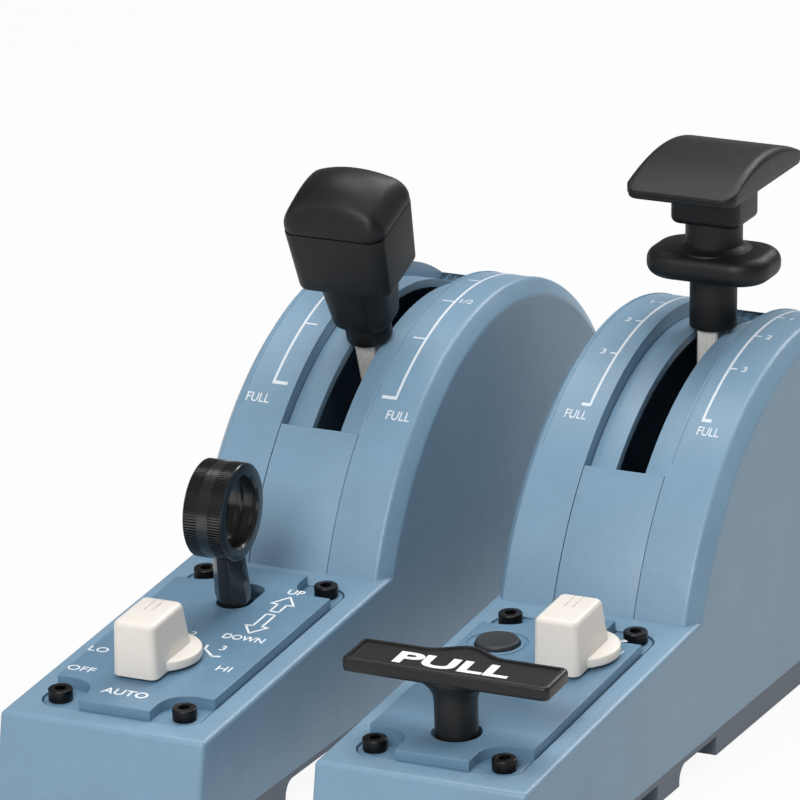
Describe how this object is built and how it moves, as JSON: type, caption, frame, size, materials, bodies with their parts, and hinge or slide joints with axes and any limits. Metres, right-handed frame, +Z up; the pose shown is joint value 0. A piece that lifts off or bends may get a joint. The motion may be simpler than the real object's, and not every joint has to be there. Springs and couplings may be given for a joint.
{
  "type": "throttle quadrant",
  "caption": "Desktop throttle quadrant in two free-standing modules with speed-brake, gear and flaps levers, a parking handle and selector knobs.",
  "frame": {"origin": "midway between the two modules, at the middle of their length, on the surface they stand on", "axes": "+X towards the right-hand module, +Y from the user to the rear, +Z up"},
  "size_m": [0.1264, 0.2463, 0.127],
  "materials": {
    "blue_shell": "fine moulded texture",
    "blue_strip": "fine moulded texture",
    "blue_panel": "fine moulded texture, printed legends",
    "base_shell": "plain moulded",
    "foot_rubber": "plain",
    "blackened_steel": "blackened",
    "frame_steel": "zinc plated",
    "bright_steel": "satin",
    "hub_alloy": "die cast",
    "bronze": "sintered",
    "magnet": "nickel plated",
    "board_green": "solder mask",
    "socket_black": "plain",
    "switch_black": "plain",
    "spindle_plastic": "plain",
    "lever_black": "fine moulded texture",
    "wheel_black": "knurled",
    "grip_black": "smooth, raised light legend",
    "button_black": "plain",
    "ivory": "smooth"
  },
  "bodies": {
    "modules": {"left_housing": "blue_shell", "left_slot_cover": "blue_strip", "left_base_tray": "base_shell", "left_fixing_screws": "blackened_steel", "left_rubber_feet": "foot_rubber", "left_control_panel": "blue_panel", "left_panel_screws": "blackened_steel", "left_lever_frame": "frame_steel", "left_bushes": "bronze", "left_spring_washers": "bright_steel", "left_detent_plate": "frame_steel", "left_circuit_boards": "board_green", "left_rear_socket": "socket_black", "right_housing": "blue_shell", "right_slot_cover": "blue_strip", "right_base_tray": "base_shell", "right_fixing_screws": "blackened_steel", "right_rubber_feet": "foot_rubber", "right_control_panel": "blue_panel", "right_panel_screws": "blackened_steel", "right_lever_frame": "frame_steel", "right_bushes": "bronze", "right_spring_washers": "bright_steel", "right_detent_plate": "frame_steel", "right_circuit_boards": "board_green", "right_rear_socket": "socket_black", "gear_bracket": "frame_steel", "gear_pin": "bright_steel", "gear_switch": "switch_black", "auto_brake_switch": "switch_black", "park_guide": "switch_black", "park_switch": "switch_black", "trim_switch": "switch_black", "button_switch": "switch_black"},
    "speed_brake_lever": {"speed_brake_arm": "bright_steel", "speed_brake_collar": "lever_black", "speed_brake_handle": "lever_black", "speed_brake_cap": "lever_black", "left_pivot_shaft": "bright_steel", "left_lever_hub": "hub_alloy", "left_detent_roller": "bright_steel", "left_sensor_magnet": "magnet"},
    "gear_lever": {"gear_wheel": "wheel_black", "gear_stem": "wheel_black"},
    "auto_brake_selector": {"auto_brake_knob": "ivory", "auto_brake_spindle": "spindle_plastic"},
    "flaps_lever": {"flap_arm": "bright_steel", "flap_handle": "lever_black", "flap_paddle": "lever_black", "collar_spring": "bright_steel", "right_pivot_shaft": "bright_steel", "right_lever_hub": "hub_alloy", "right_detent_roller": "bright_steel", "right_sensor_magnet": "magnet"},
    "lifting_collar": {"flap_collar": "lever_black"},
    "parking_plunger": {"park_plunger": "bright_steel"},
    "parking_grip": {"park_handle": "grip_black"},
    "trim_selector": {"trim_knob": "ivory", "trim_spindle": "spindle_plastic"},
    "push_button": {"button_cap": "button_black"}
  },
  "joints": [
    {"name": "speed_brake", "type": "hinge", "parent": "modules", "child": "speed_brake_lever", "pos_m": [-0.03815, 0.04771, 0.0109], "axis": [1, 0, 0], "range_deg": [-35.8, 16.3]},
    {"name": "gear", "type": "hinge", "parent": "modules", "child": "gear_lever", "pos_m": [-0.03865, -0.04623, 0.0161], "axis": [1, 0, 0], "range_deg": [-20, 0]},
    {"name": "auto_brake", "type": "hinge", "parent": "modules", "child": "auto_brake_selector", "pos_m": [-0.03995, -0.08574, 0.03068], "axis": [0, -0.075, 0.9972], "range_deg": [-60, 60]},
    {"name": "flaps", "type": "hinge", "parent": "modules", "child": "flaps_lever", "pos_m": [0.03815, 0.04771, 0.0109], "axis": [1, 0, 0], "range_deg": [-15.5, 32.4]},
    {"name": "collar_lift", "type": "slide", "parent": "flaps_lever", "child": "lifting_collar", "axis": [0, -0.0087, 1], "range_m": [0, 0.0035], "stiffness_N_per_m": 400, "springref_m": -0.002, "deforming": ["collar_spring"]},
    {"name": "parking_pull", "type": "slide", "parent": "modules", "child": "parking_plunger", "axis": [0, -0.075, 0.9972], "range_m": [0, 0.006]},
    {"name": "parking_turn", "type": "hinge", "parent": "parking_plunger", "child": "parking_grip", "pos_m": [0.03815, -0.099, 0.02968], "axis": [0, -0.075, 0.9972], "range_deg": [0, 90]},
    {"name": "trim", "type": "hinge", "parent": "modules", "child": "trim_selector", "pos_m": [0.04665, -0.05193, 0.03322], "axis": [0, -0.075, 0.9972], "range_deg": [-45, 45], "stiffness_Nm_per_rad": 0.02},
    {"name": "button", "type": "slide", "parent": "modules", "child": "push_button", "axis": [0, -0.075, 0.9972], "range_m": [-0.0008, 0], "stiffness_N_per_m": 300, "springref_m": 0.0015}
  ]
}
